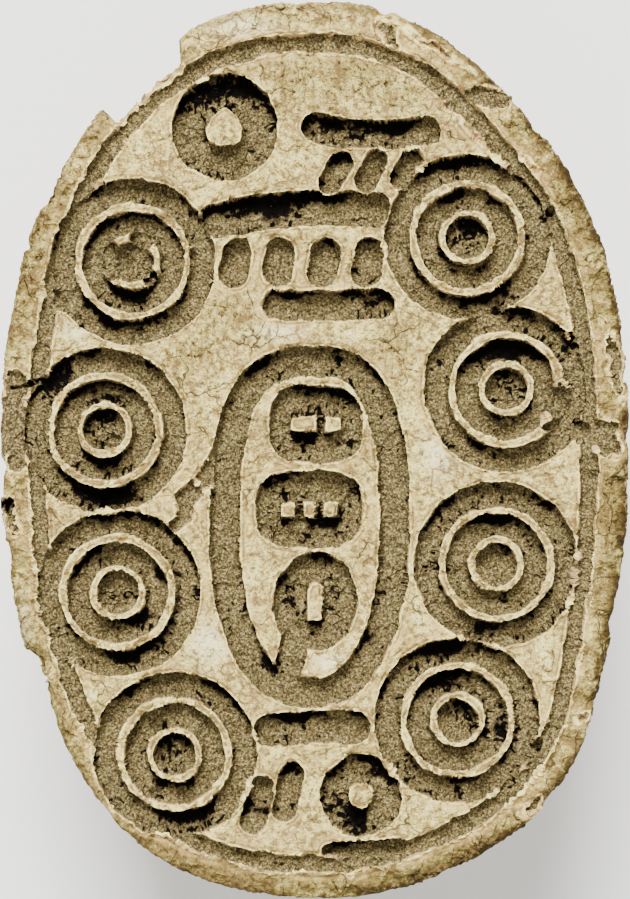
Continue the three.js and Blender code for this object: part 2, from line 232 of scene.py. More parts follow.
for turn in np.linspace(math.pi / 2, 0, SHELL_ROWS, endpoint=False)[1:]:
    share = math.sin(turn)
    add_ring(max(6, round(SIDE_POINTS * share)), share_of(shell_reach, share), back_height)
print(f"{len(rings)} rings and {sum(len(ring) for ring in rings)} points in all")

# %% Sew the rings together


def sew(first, first_start, second, second_start):
    """Triangles between two rings that both start at angle nought."""
    triangles = []
    i = j = 0
    while i < first or j < second:
        a, b = first_start + i % first, second_start + j % second
        if j < second and (i >= first or (j + 1) * first <= (i + 1) * second):
            triangles.append((a, b, second_start + (j + 1) % second))
            j += 1
        else:
            triangles.append((a, b, first_start + (i + 1) % first))
            i += 1
    return triangles


starts = np.cumsum([1] + [len(ring) for ring in rings])
points = np.vstack([[[0, 0, HEIGHT]], *rings, [[0, 0, back_height(0.0, 0.0)]]])
triangles = [(0, 1 + i, 1 + (i + 1) % 6) for i in range(6)]
for k in range(len(rings) - 1):
    triangles += sew(len(rings[k]), starts[k], len(rings[k + 1]), starts[k + 1])
last, last_start = len(rings[-1]), starts[-2]
triangles += [(last_start + i, len(points) - 1, last_start + (i + 1) % last) for i in range(last)]
points = np.clip(points, np.array(node_low) / MM, np.array(node_high) / MM)


def mesh_object(name, places, edges=(), faces=()):
    """A mesh from places in millimetres."""
    mesh = bpy.data.meshes.new(name)
    mesh.from_pydata((np.asarray(places, float) * MM).tolist(), edges, faces)
    made = bpy.data.objects.new(name, mesh)
    bpy.context.scene.collection.objects.link(made)
    return made


def give_attribute(target, name, values):
    attribute = target.data.attributes.new(name, "FLOAT", "POINT")
    attribute.data.foreach_set("value", np.asarray(values, np.float32))


# Each spot is the x and y of its middle and its two half widths. They lie where the photograph shows a
# white bloom, a pitted patch and clinging soil.
CHALK_SPOTS = [
    (2.99, -0.06, 0.35, 0.5), (0.37, -5.2, 0.45, 0.22), (-0.93, 2.85, 0.5, 0.2), (-5.8, 2.92, 0.3, 0.25),
    (-1.81, 10.36, 0.75, 0.25), (-7.17, -4.37, 0.2, 0.6), (-2.59, -4.73, 0.4, 0.4),
]
PITTED_SPOTS = [
    (1.22, 9.04, 1.8, 0.7), (-0.7, 9.1, 0.5, 0.5), (1.96, 2.56, 0.45, 0.5), (-2.06, 3.29, 0.7, 0.5),
    (-3.03, 2.31, 0.6, 0.5), (7.2, -1.7, 0.35, 1.5), (-6.9, 5.0, 0.4, 1.2), (6.3, 6.2, 0.6, 1.0),
]
SOIL_SPOTS = [
    (-2.08, 8.8, 1.0, 0.35), (1.4, 7.85, 1.4, 0.35), (-1.1, 5.8, 0.8, 0.45), (4.16, 3.71, 0.8, 0.28),
    (3.7, 7.05, 0.8, 0.2), (3.45, 6.1, 0.7, 0.25), (4.75, 2.3, 1.0, 0.45), (-6.4, 1.65, 0.7, 0.3),
    (-5.2, 1.4, 0.9, 0.3), (-3.82, -3.16, 0.25, 0.25), (-4.1, -4.1, 0.5, 0.25), (-4.6, -5.1, 0.7, 0.2),
    (-3.15, -8.9, 0.9, 0.28), (-3.2, -8.2, 0.5, 0.2), (-1.4, -8.8, 0.5, 0.3), (-0.8, -7.8, 0.35, 0.35),
    (-0.5, -6.55, 0.9, 0.2), (1.15, -7.85, 1.0, 0.4), (0.95, -9.1, 0.9, 0.45), (0.45, -8.5, 0.4, 0.6),
    (3.5, -5.7, 0.9, 0.35), (4.5, -6.8, 0.25, 0.4), (3.3, -4.9, 0.9, 0.2), (4.45, -1.75, 0.8, 0.22),
    (4.23, -4.4, 0.8, 0.22), (0.3, -1.8, 0.5, 0.2), (0.57, -3.6, 0.25, 0.5), (-0.6, -3.8, 0.22, 0.5),
    (-0.2, 0.3, 0.5, 0.2), (-1.5, 2.1, 0.9, 0.4), (-1.4, -5.3, 0.5, 0.35), (1.4, -4.7, 0.35, 0.4),
    (3.6, -9.1, 0.5, 0.2), (-0.9, -10.2, 0.9, 0.15), (-4.4, 3.2, 1.0, 0.28), (-4.35, 3.75, 0.4, 0.2),
    (-2.8, 5.9, 0.5, 0.3), (3.9, 0.2, 0.6, 0.2), (-5.0, -1.2, 0.9, 0.25), (3.7, 5.4, 0.4, 0.25),
]


def spots(places, list_of_spots):
    """One in the middle of each spot, falling to nought outside it."""
    total = np.zeros(len(places))
    for x, y, half_x, half_y in list_of_spots:
        total += np.exp(-(((places[:, 0] - x) / half_x) ** 2) - ((places[:, 1] - y) / half_y) ** 2)
    return total.clip(0, 1)


RIM_WIDTH = 0.96
border_distance = oval_reach(np.arctan2(points[:, 1], points[:, 0])) - RIM_WIDTH
out_on_rim = ((np.hypot(points[:, 0], points[:, 1]) - border_distance) / RIM_WIDTH).clip(0, 1)
blank = mesh_object("blank", points, faces=triangles)
give_attribute(blank, "rim", out_on_rim)
give_attribute(blank, "chalk", spots(points, CHALK_SPOTS))
give_attribute(blank, "pitted", spots(points, PITTED_SPOTS))
give_attribute(blank, "soil", spots(points, SOIL_SPOTS))
give_attribute(blank, "cut", np.zeros(len(points)))
give_attribute(blank, "raised", np.zeros(len(points)))
give_attribute(blank, "lip", np.full(len(points), 1 * MM))
band_rings = [np.full(len(ring), note == "band") for ring, note in zip(rings, ring_notes)]
give_attribute(blank, "band", np.concatenate([[0], *band_rings, [0]]))
print(f"the blank has {len(blank.data.polygons)} triangles")

# %% [markdown]
# A groove is easiest to describe by the line that the tool follows: a circle for each turn of the tubular
# drill, one loop inside the rim, one long oval in the middle, and short bowed lines for the rows of
# strokes. The lines are plain edges without faces, laid on the blank's surface, and where their widths
# differ, each keeps the half width of its tool as an attribute.

# %% The drilled motifs and the loops
MOTIFS = [
    (-4.45, 4.59), (-5.14, 0.48), (-4.82, -3.49), (-3.43, -7.45),
    (3.72, 5.18), (4.67, 1.48), (4.43, -2.8), (3.48, -6.6),
]
BORDER = {"inset": RIM_WIDTH, "shift": (-0.05, -0.11), "points": 360}
FRAME_OVAL = {"centre": (-0.13, -1.9), "half": (2.07, 4.04), "powers": (2.8, 2.3), "points": 160}


def power_loop(centre, half, powers, count):
    """A closed superellipse, with one power above its middle and one below."""
    angle = np.arange(count) / count * 2 * math.pi
    cos, sin = np.cos(angle), np.sin(angle)
    power = np.where(sin > 0, powers[0], powers[1])
    x = centre[0] + half[0] * np.sign(cos) * np.abs(cos) ** (2 / power)
    y = centre[1] + half[1] * np.sign(sin) * np.abs(sin) ** (2 / power)
    return np.column_stack([x, y, np.full(count, HEIGHT)])


def line_object(name, lines, closed=False, half_widths=None):
    """Several lines of points as one mesh of edges."""
    places, edges, widths = [], [], []
    for number, line in enumerate(lines):
        start = len(places)
        places += [tuple(place) for place in line]
        edges += [(start + i, start + i + 1) for i in range(len(line) - 1)]
        if closed:
            edges.append((len(places) - 1, start))
        if half_widths is not None:
            widths += list(np.broadcast_to(half_widths[number], len(line)) * MM)
    made = mesh_object(name, places, edges=edges)
    if half_widths is not None:
        give_attribute(made, "half_width", widths)
    return made


motif_points = mesh_object("motif_points", [(x, y, HEIGHT) for x, y in MOTIFS])
border_angle = np.arange(BORDER["points"]) / BORDER["points"] * 2 * math.pi
border_reach = oval_reach(border_angle) - BORDER["inset"]
border_line = np.column_stack([
    border_reach * np.cos(border_angle) + BORDER["shift"][0],
    border_reach * np.sin(border_angle) + BORDER["shift"][1],
    np.full(BORDER["points"], HEIGHT),
])
border_path = line_object("border_path", [border_line], closed=True)
frame_line = power_loop(*(FRAME_OVAL[part] for part in ("centre", "half", "powers", "points")))
oval_path = line_object("oval_path", [frame_line], closed=True)
print(f"{len(MOTIFS)} motifs, a border of {BORDER['points']} points and a long oval")

# %% [markdown]
# The real seal has signs here, and this one has plain rows of shallow strokes in their places. Wear and
# old damage are lines too: gouges and channels in the rim, and arcs where a drilled ring has broken away.
# The cracks are finer than the mesh, so they are left to the material.

# %% Rows of strokes
# Each row has its first and last centre, how many strokes, their length, lean in degrees, bow, half width.
STROKE_ROWS = [
    ((1.37, 7.82), (1.37, 7.82), 1, 2.7, -2, -0.15, 0.32),
    ((0.5, 6.76), (2.25, 6.84), 3, 0.55, 62, 0, 0.25),
    ((-0.5, 5.72), (-0.5, 5.72), 1, 3.9, 4, 0.15, 0.4),
    ((-1.95, 4.56), (1.3, 4.56), 4, 0.48, 80, 0, 0.34),
    ((0.3, 3.55), (0.3, 3.55), 1, 2.55, 0, -0.03, 0.32),
    ((0.14, 0.62), (0.14, 0.62), 1, 0.7, 90, 0, 0.1),
    ((-0.38, -1.46), (0.12, -1.46), 2, 0.7, 90, 0, 0.09),
    ((-0.58, -5.1), (-0.58, -5.1), 1, 1.0, 76, 0, 0.32),
    ((-0.08, -6.82), (-0.08, -6.82), 1, 2.1, 2, 0.05, 0.36),
    ((-1.4, -8.68), (-0.66, -8.36), 2, 0.85, 75, 0, 0.28),
    ((1.22, -9.76), (1.22, -9.76), 1, 1.7, 4, 0, 0.19),
]


def stroke_line(centre, length, lean, bow, count=9):
    along = np.linspace(-0.5, 0.5, count) * length
    across = bow * (1 - (2 * along / length) ** 2)
    turn = math.radians(lean)
    x = centre[0] + along * math.cos(turn) - across * math.sin(turn)
    y = centre[1] + along * math.sin(turn) + across * math.cos(turn)
    return np.column_stack([x, y, np.full(count, HEIGHT)])


stroke_lines, stroke_halves = [], []
for first_centre, last_centre, count, length, lean, bow, half in STROKE_ROWS:
    for t in np.linspace(0, 1, count):
        centre = [a + (b - a) * t for a, b in zip(first_centre, last_centre)]
        stroke_lines.append(stroke_line(centre, length, lean, bow))
        stroke_halves.append(half)
stroke_paths = line_object("stroke_paths", stroke_lines, half_widths=stroke_halves)
print(f"{len(stroke_lines)} strokes in {len(STROKE_ROWS)} rows")

# %% Gouges in the rim and broken rings
# Each gouge and deep line has its start, its end and its half width.
GOUGES = [
    ((3.3, 8.5), (5.2, 8.75), 0.22),
    ((3.64, 7.95), (4.42, 7.31), 0.07),
    ((1.6, 10.56), (2.06, 9.74), 0.13),
    ((1.95, 10.5), (3.95, 9.2), 0.07),
    ((-2.35, 0.1), (-3.5, -2.1), 0.2),
    ((-2.5, -0.3), (-2.75, -0.9), 0.2),
    ((-7.4, 1.6), (-7.3, -0.3), 0.5),
    ((-6.8, 1.4), (-6.9, 0.0), 0.35),
    ((-7.75, -1.3), (-7.3, -2.0), 0.14),
    ((6.3, 0.5), (7.4, 0.2), 0.3),
    ((7.2, 2.85), (7.55, 1.15), 0.14),
    ((-5.3, -8.1), (-4.85, -7.75), 0.08),
    ((-4.95, -8.75), (-4.6, -8.25), 0.09),
    ((-4.1, -9.3), (-3.95, -8.85), 0.07),
    ((5.2, -8.9), (5.6, -8.55), 0.13),
    ((6.45, -6.6), (6.75, -6.45), 0.09),
    ((5.0, 7.2), (5.45, 6.75), 0.06),
]
DEEP_LINES = [
    ((-1.6, -10.09), (0.9, -10.24), 0.07),
    ((0.3, 10.12), (1.39, 9.93), 0.05),
    ((-7.4, 1.52), (-5.99, 1.86), 0.09),
    ((5.8, 0.6), (6.6, 0.45), 0.22),
    ((5.7, 5.8), (5.66, 5.05), 0.12),
    ((6.28, 2.78), (6.4, 2.3), 0.11),
    ((-6.27, 3.9), (-6.13, 3.48), 0.15),
    ((-5.5, 6.2), (-5.27, 6.42), 0.1),
    ((5.5, -7.1), (4.6, -8.3), 0.14),
    ((-7.62, -1.3), (-7.4, -1.55), 0.12),
]
BROKEN_ARCS = [
    {"motif": 0, "radius": 0.6, "from": 63, "to": 75, "half": 0.24},
    {"motif": 0, "radius": 0.6, "from": 154, "to": 206, "half": 0.24},
    {"motif": 0, "radius": 0.6, "from": 315, "to": 319, "half": 0.2},
    {"motif": 5, "radius": 1.33, "from": -22, "to": -6, "half": 0.26},
]
GOUGE_POINTS, GOUGE_STRAY = 9, 0.3


def arc_line(arc, count=13):
    turn = np.radians(np.linspace(arc["from"], arc["to"], count))
    middle = MOTIFS[arc["motif"]]
    x = middle[0] + arc["radius"] * np.cos(turn)
    return np.column_stack([x, middle[1] + arc["radius"] * np.sin(turn), np.full(count, HEIGHT)])


def gouge_line(start, end, half):
    """A line that strays a little from straight."""
    t = np.linspace(0, 1, GOUGE_POINTS)[:, None]
    line = np.array(start) * (1 - t) + np.array(end) * t
    line += chance.normal(0, GOUGE_STRAY * half, (GOUGE_POINTS, 2))
    return np.column_stack([line, np.full(GOUGE_POINTS, HEIGHT)])


def gouge_widths(half):
    """Half widths along a gouge, less at its ends than in its middle."""
    return half * (0.45 + 0.65 * np.sin(np.linspace(0, math.pi, GOUGE_POINTS)))


gouge_paths = line_object(
    "gouge_paths",
    [gouge_line(*one) for one in GOUGES],
    half_widths=[gouge_widths(half) for *_, half in GOUGES],
)
deep_lines = [gouge_line(*one) for one in DEEP_LINES] + [arc_line(arc) for arc in BROKEN_ARCS]
deep_halves = [half for *_, half in DEEP_LINES] + [arc["half"] for arc in BROKEN_ARCS]
deep_paths = line_object("deep_paths", deep_lines, half_widths=deep_halves)
print(f"{len(GOUGES)} gouges, {len(DEEP_LINES)} deep lines and {len(BROKEN_ARCS)} broken arcs")

# %% [markdown]
# The three cells in the long oval and the two single circles are hollows with something left standing in
# them. A flat patch of faces marks where the stone is cut away, with a gap where a bar or boss stays.

# %% Cells and circles
CELLS = [
    {"centre": (0.02, 0.62), "half": (1.1, 0.92), "power": 3.2, "bar": (0.64, 0.2)},
    {"centre": (-0.13, -1.46), "half": (1.28, 0.92), "power": 3.2, "bar": (0.72, 0.21)},
    {"centre": (0.0, -3.72), "half": (1.0, 1.18), "bar": (0.2, 0.5)},
]
CIRCLES = [
    {"centre": (-2.2, 7.87), "half": (1.27, 1.27), "bar": (0.46, 0.52), "bar_powers": (1.45, 2.6)},
    {"centre": (1.13, -8.45), "half": (0.96, 0.96), "bar": (0.34, 0.34), "bar_powers": (2.0, 2.0)},
]
TOOL_ROUND = 0.1


def hollow_patch(cell, count=64):
    """Two loops, drawn in by the tool's round so that the finished edge has the cell's own size."""
    power, bar_powers = cell.get("power", 2.0), cell.get("bar_powers", (5.0, 5.0))
    outer_half = [half - TOOL_ROUND for half in cell["half"]]
    inner_half = [half + TOOL_ROUND for half in cell["bar"]]
    outer = power_loop(cell["centre"], outer_half, (power, power), count)
    inner = power_loop(cell["centre"], inner_half, bar_powers, count)
    faces = [(i, (i + 1) % count, count + (i + 1) % count, count + i) for i in range(count)]
    return np.vstack([outer, inner]), faces


patch_places, patch_faces = [], []
for cell in CELLS + CIRCLES:
    places, faces = hollow_patch(cell)
    offset = sum(len(one) for one in patch_places)
    patch_places.append(places)
    patch_faces += [tuple(offset + i for i in face) for face in faces]
hollow_areas = mesh_object("hollow_areas", np.vstack(patch_places), faces=patch_faces)
print(f"{len(CELLS)} cells and {len(CIRCLES)} circles")

# %% [markdown]
# The beetle's back is out of sight in most views, so it is plain: a line behind the head, a line behind
# the thorax, one down the middle between the wing cases, and a nick at each shoulder. The legs are lines
# along the band, and the stone is left standing round those.

# %% Back lines and legs
HEAD_LINE = {"y": 7.3, "half_span": 3.9, "sag": 0.5}
THORAX_LINE = {"y": 3.1, "half_span": 7.0, "sag": 0.6}
SUTURE = (2.4, -9.6)
SHOULDER_NICK = ((6.6, 2.7), (5.5, 1.5))
# Each leg runs from one angle to another, and from one height to another.
LEGS = [(70, 40, 6.85, 6.2), (30, -8, 6.25, 6.9), (-20, -64, 6.25, 6.85)]


def on_back(x, y):
    return np.column_stack([x, y, back_height(x, y)])


def across_line(line, count=60):
    t = np.linspace(-1, 1, count)
    return on_back(line["half_span"] * t, line["y"] - line["sag"] * (1 - t * t))


def between(start, end, count=40):
    t = np.linspace(0, 1, count)
    return on_back(start[0] + (end[0] - start[0]) * t, start[1] + (end[1] - start[1]) * t)


nick_lines = [between(*[(side * x, y) for x, y in SHOULDER_NICK]) for side in (-1, 1)]
suture_line = between((0.0, SUTURE[0]), (0.0, SUTURE[1]))
back_paths = line_object(
    "back_paths", [across_line(HEAD_LINE), across_line(THORAX_LINE), suture_line, *nick_lines]
)


def leg_line(side, start, end, z_start, z_end, count=40):
    t = np.linspace(0, 1, count)
    angle = np.radians(start + (end - start) * t)
    reach = oval_reach(angle) * BAND_SHARE
    mirrored = side * np.abs(reach * np.cos(angle))
    return np.column_stack([mirrored, reach * np.sin(angle), z_start + (z_end - z_start) * t])


leg_lines = [leg_line(side, *leg) for side in (-1, 1) for leg in LEGS]
leg_paths = line_object("leg_paths", leg_lines)
print(f"{len(leg_lines)} legs")

# %% [markdown]
# One node group does the cutting. For each point of the stone it asks how far the nearest path is, takes
# off the tool's half width, and so knows whether the point is inside the groove. Two numbers are kept on
# the points: how deep the deepest tool has cut there, and how far away the nearest lip of a groove is.
# The place is shaken a little with noise before the distance is measured, and that turns a perfect drill
# line into one that a hand has made. The stone itself isn't moved yet, so every tool measures on the same
# smooth blank.

# %% Helpers for node trees


def add_node(tree, kind, inputs=None, **settings):
    """Adds a node. An input that is a socket is linked, and any other value is set."""
    made = tree.nodes.new(kind)
    for name, value in settings.items():
        setattr(made, name, value)
    for name, value in (inputs or {}).items():
        if isinstance(value, bpy.types.NodeSocket):
            tree.links.new(value, made.inputs[name])
        else:
            made.inputs[name].default_value = value
    return made


def math_node(tree, operation, *values):
    return add_node(tree, "ShaderNodeMath", dict(enumerate(values)), operation=operation).outputs[0]


def vector_node(tree, operation, *values):
    inputs = dict(enumerate(values))
    return add_node(tree, "ShaderNodeVectorMath", inputs, operation=operation).outputs[0]


def scaled(tree, vector, size):
    inputs = {0: vector, "Scale": size}
    return add_node(tree, "ShaderNodeVectorMath", inputs, operation="SCALE").outputs[0]


def stored(tree, name, kind="FLOAT"):
    made = add_node(tree, "GeometryNodeInputNamedAttribute", {"Name": name}, data_type=kind)
    return made.outputs["Attribute"]


def store(tree, geometry, name, value, kind="FLOAT"):
    made = add_node(tree, "GeometryNodeStoreNamedAttribute", domain="POINT", data_type=kind)
    tree.links.new(geometry, made.inputs["Geometry"])
    tree.links.new(value, made.inputs["Value"])
    made.inputs["Name"].default_value = name
    return made.outputs[0]


def noise(tree, scale, seed, detail=3.0, roughness=0.55, vector=None):
    """Noise with so many waves to the millimetre, drawn from its own seed."""
    inputs = {"Scale": scale / MM, "W": seed, "Detail": detail, "Roughness": roughness}
    if vector is not None:
        inputs["Vector"] = vector
    return add_node(tree, "ShaderNodeTexNoise", inputs, noise_dimensions="4D")


def ramp(tree, value, low, high, to_low=0.0, to_high=1.0):
    """A smooth change from one value to another, flat outside its range."""
    inputs = {"Value": value, "From Min": low, "From Max": high, "To Min": to_low, "To Max": to_high}
    return add_node(
        tree, "ShaderNodeMapRange", inputs, interpolation_type="SMOOTHSTEP"
    ).outputs["Result"]


def new_tree(name, inputs):
    """A geometry tree with named inputs, and the nodes where it starts and ends."""
    tree = bpy.data.node_groups.new(name, "GeometryNodeTree")
    tree.interface.new_socket("Geometry", in_out="INPUT", socket_type="NodeSocketGeometry")
    for label, (kind, value) in inputs.items():
        socket = tree.interface.new_socket(label, in_out="INPUT", socket_type=f"NodeSocket{kind}")
        if value is not None:
            socket.default_value = value
    tree.interface.new_socket("Geometry", in_out="OUTPUT", socket_type="NodeSocketGeometry")
    return tree, tree.nodes.new("NodeGroupInput").outputs, tree.nodes.new("NodeGroupOutput").inputs


print("the helpers for node trees are ready")

# %% The cutting tool
FACE_START = HEIGHT - SHOULDER_DROP - 0.02


def on_face(tree):
    """One for the points of the engraved face and its rounded shoulder, nought for the rest."""
    place = add_node(tree, "GeometryNodeInputPosition").outputs[0]
    height = add_node(tree, "ShaderNodeSeparateXYZ", {0: place}).outputs["Z"]
    return math_node(tree, "GREATER_THAN", height, FACE_START * MM), height


def flat_place(tree):
    """The place of a point, with the worn shoulder lifted to the level of the face."""
    face, height = on_face(tree)
    lift = math_node(tree, "MULTIPLY", face, math_node(tree, "SUBTRACT", HEIGHT * MM, height))
    place = add_node(tree, "GeometryNodeInputPosition").outputs[0]
    up = add_node(tree, "ShaderNodeCombineXYZ", {"Z": lift}).outputs[0]
    return vector_node(tree, "ADD", place, up)


def cutting_tool(name, element):
    """A group that cuts along edges, or over faces."""
    tree, given, result = new_tree(name, {
        "Paths": ("Geometry", None),
        "Half Width": ("Float", 0.2 * MM),
        "Depth": ("Float", 0.5 * MM),
        "Wall": ("Float", 0.1 * MM),
        "Keep Off": ("Float", 0.0),
        "Place": ("Vector", None),
    })
    nearest = add_node(
        tree,
        "GeometryNodeProximity",
        {"Geometry": given["Paths"], "Sample Position": given["Place"]},
        target_element=element,
    )
    outside = math_node(tree, "SUBTRACT", nearest.outputs["Distance"], given["Half Width"])
    outside = math_node(tree, "ADD", outside, given["Keep Off"])
    wall_start = math_node(tree, "MULTIPLY", given["Wall"], -1.0)
    cut = ramp(tree, outside, wall_start, 0.0, given["Depth"], 0.0)
    deepest = math_node(tree, "MAXIMUM", stored(tree, "cut"), cut)
    if element == "FACES":
        on_patch = math_node(tree, "LESS_THAN", nearest.outputs["Distance"], 1e-3 * MM)
        outside = math_node(tree, "SUBTRACT", outside, math_node(tree, "MULTIPLY", on_patch, 1 * MM))
    lip = math_node(tree, "MINIMUM", stored(tree, "lip"), outside)
    geometry = store(tree, given["Geometry"], "cut", deepest)
    tree.links.new(store(tree, geometry, "lip", lip), result["Geometry"])
    return tree


line_tool = cutting_tool("cut along lines", "EDGES")
area_tool = cutting_tool("cut over areas", "FACES")
print(f"the line tool has {len(line_tool.nodes)} nodes")

# %% [markdown]
# The main tree calls the tool once for each kind of cut. The drilled rings are circles, instanced on the
# eight motif centres. Then the legs are raised from the band, and the cuts are taken out: straight down in
# the face, along the surface's normal on the back, and less deep on the upright sides, so that they don't
# fray the outline. The rim is worn lower in places. A last step weathers the stone: a fine roughness
# everywhere, and small chips along the lips of the grooves. The sizes are inputs of the tree, so each can
# be changed on the modifier.

# %% The carver's tree
PIT_RADIUS, INNER_GROOVE, OUTER_GROOVE = 0.49, (0.71, 1.21), (1.45, 1.99)
LEG_POWER = 2.4
SIZES = {
    "Ring Depth": 0.5, "Sign Depth": 0.5, "Line Depth": 0.3, "Gouge Depth": 0.27,
    "Wall": 0.1, "Back Wall": 0.26, "Wobble": 0.22,
    "Border Half Width": 0.2, "Oval Half Width": 0.34, "Back Half Width": 0.24, "Back Depth": 0.24,
    "Leg Half Height": 0.52, "Leg Stand": 0.7, "Rim Relief": 0.2,
    "Roughness": 0.06, "Plate Height": 0.06, "Pit Depth": 0.06, "Chip Depth": 0.11,
}
PATH_OBJECTS = {
    "Motif Points": motif_points, "Border Path": border_path, "Oval Path": oval_path,
    "Stroke Paths": stroke_paths, "Gouge Paths": gouge_paths, "Deep Paths": deep_paths,
    "Hollow Areas": hollow_areas, "Back Paths": back_paths, "Leg Paths": leg_paths,
}
HANDS = 4
carver_inputs = {label: ("Float", value * MM) for label, value in SIZES.items()}
carver_inputs |= {label: ("Object", None) for label in PATH_OBJECTS}
carver_inputs |= {"Seed": ("Float", 3.0), "Material": ("Material", None)}
carver, given, result = new_tree("carver", carver_inputs)


def reckon(operation, *values):
    return math_node(carver, operation, *values)


def product_of(*values):
    total = values[0]
    for value in values[1:]:
        total = reckon("MULTIPLY", total, value)
    return total


def carver_noise(scale, seed_step, detail, roughness=0.55):
    """Noise whose seed is so many steps above the tree's own."""
    return noise(carver, scale, reckon("ADD", given["Seed"], float(seed_step)), detail, roughness).outputs


def carver_ramp(value, low, high, to_low=0.0, to_high=1.0):
    return ramp(carver, value, low, high, to_low, to_high)


def path_geometry(label):
    info = add_node(carver, "GeometryNodeObjectInfo", {"Object": given[label]})
    return info.outputs["Geometry"]


def use_tool(geometry, tool, paths, half_width, depth, hand, keep_off=0.0, wall="Wall"):
    """One pass of a tool. Each hand has an unsteadiness of its own."""
    group = add_node(carver, "GeometryNodeGroup", node_tree=tool)
    values = {
        "Geometry": geometry, "Paths": paths, "Half Width": half_width, "Depth": depth,
        "Wall": given[wall], "Keep Off": keep_off,
        "Place": stored(carver, f"hand_{hand % HANDS}", "FLOAT_VECTOR"),
    }
    for label, value in values.items():
        if isinstance(value, bpy.types.NodeSocket):
            carver.links.new(value, group.inputs[label])
        else:
            group.inputs[label].default_value = value
    return group.outputs[0]


def circles_on_motifs(radius, fill="NONE"):
    circle = add_node(
        carver, "GeometryNodeMeshCircle", {"Vertices": 64, "Radius": radius * MM}, fill_type=fill
    )
    placed = add_node(
        carver,
        "GeometryNodeInstanceOnPoints",
        {"Points": path_geometry("Motif Points"), "Instance": circle.outputs[0]},
    )
    return add_node(carver, "GeometryNodeRealizeInstances", {"Geometry": placed.outputs[0]}).outputs[0]


stone = given["Geometry"]
for hand in range(HANDS):
    shake = carver_noise(1.0, hand, 6.0, 0.72)["Color"]
    centred = vector_node(carver, "SUBTRACT", shake, (0.5, 0.5, 0.5))
    shift = scaled(carver, centred, given["Wobble"])
    shaken = vector_node(carver, "ADD", flat_place(carver), shift)
    stone = store(carver, stone, f"hand_{hand}", shaken, "FLOAT_VECTOR")

pits = circles_on_motifs(PIT_RADIUS - TOOL_ROUND, "NGON")
stone = use_tool(stone, area_tool, pits, TOOL_ROUND * MM, given["Ring Depth"], 0)
for number, (inner, outer) in enumerate((INNER_GROOVE, OUTER_GROOVE)):
    ring_paths, half_width = circles_on_motifs((inner + outer) / 2), (outer - inner) / 2 * MM
    stone = use_tool(stone, line_tool, ring_paths, half_width, given["Ring Depth"], 1 + number)

oval = path_geometry("Oval Path")
stone = use_tool(stone, line_tool, oval, given["Oval Half Width"], given["Sign Depth"], 4)
hollows = path_geometry("Hollow Areas")
stone = use_tool(stone, area_tool, hollows, TOOL_ROUND * MM, given["Sign Depth"], 5)


def own_half_width(paths):
    """The half width that belongs to the path nearest to each point."""
    nearest = add_node(carver, "GeometryNodeSampleNearest", {"Geometry": paths}).outputs[0]
    values = {"Geometry": paths, "Value": stored(carver, "half_width"), "Index": nearest}
    return add_node(carver, "GeometryNodeSampleIndex", values).outputs[0]


own_width_cuts = {"Stroke Paths": "Sign Depth", "Gouge Paths": "Gouge Depth", "Deep Paths": "Ring Depth"}
for number, (label, depth) in enumerate(own_width_cuts.items()):
    paths = path_geometry(label)
    stone = use_tool(stone, line_tool, paths, own_half_width(paths), given[depth], 2 + number)
print(f"the carver has {len(carver.nodes)} nodes so far")

# %% The border, the beetle's lines and the legs


def distance_to(label, element):
    paths = {"Geometry": path_geometry(label)}
    return add_node(carver, "GeometryNodeProximity", paths, target_element=element).outputs["Distance"]


# The border's groove stops where a drilled ring stands in its way.
inside_ring = reckon("LESS_THAN", distance_to("Motif Points", "POINTS"), OUTER_GROOVE[0] * MM)
border_cut = (path_geometry("Border Path"), given["Border Half Width"], given["Line Depth"])
stone = use_tool(stone, line_tool, *border_cut, 7, keep_off=reckon("MULTIPLY", inside_ring, 1 * MM))
back_cut = (path_geometry("Back Paths"), given["Back Half Width"], given["Back Depth"])
stone = use_tool(stone, line_tool, *back_cut, 8, wall="Back Wall")
leg_share = reckon("DIVIDE", distance_to("Leg Paths", "EDGES"), given["Leg Half Height"])
leg_round = reckon("SUBTRACT", 1.0, reckon("POWER", leg_share, LEG_POWER))
leg_height = reckon("POWER", reckon("MAXIMUM", leg_round, 0.0), 0.5)
raised = product_of(leg_height, given["Leg Stand"], stored(carver, "band"))
stone = store(carver, stone, "raised", raised)

# %% Move the surface
normal = add_node(carver, "GeometryNodeInputNormal").outputs["Normal"]
floor_share = carver_ramp(carver_noise(3.2, 20, 5.0, 0.7)["Fac"], 0.3, 0.7, 0.86, 1.08)
taken = product_of(stored(carver, "cut"), floor_share)
normal_z = add_node(carver, "ShaderNodeSeparateXYZ", {0: normal}).outputs["Z"]
side_share = carver_ramp(normal_z, -0.35, -0.1, 1.0, 0.3)
lift = reckon("SUBTRACT", stored(carver, "raised"), product_of(taken, side_share))

face, height = on_face(carver)
rim = stored(carver, "rim")
rim_here = product_of(carver_ramp(rim, 0.15, 0.45), carver_ramp(rim, 1.0, 0.75))
rim_wear = carver_ramp(carver_noise(1.1, 35, 4.0, 0.6)["Fac"], 0.38, 0.62)
face_level = reckon("SUBTRACT", height, product_of(rim_wear, rim_here, given["Rim Relief"]))
floor_level = reckon("MINIMUM", face_level, reckon("SUBTRACT", HEIGHT * MM, taken))
drop = product_of(face, reckon("SUBTRACT", floor_level, height))
down = add_node(carver, "ShaderNodeCombineXYZ", {"Z": drop}).outputs[0]
outward = scaled(carver, normal, product_of(lift, reckon("SUBTRACT", 1.0, face)))
move = {"Geometry": stone, "Offset": vector_node(carver, "ADD", down, outward)}
stone = add_node(carver, "GeometryNodeSetPosition", move).outputs[0]
print(f"the carver has {len(carver.nodes)} nodes, and moves the surface")

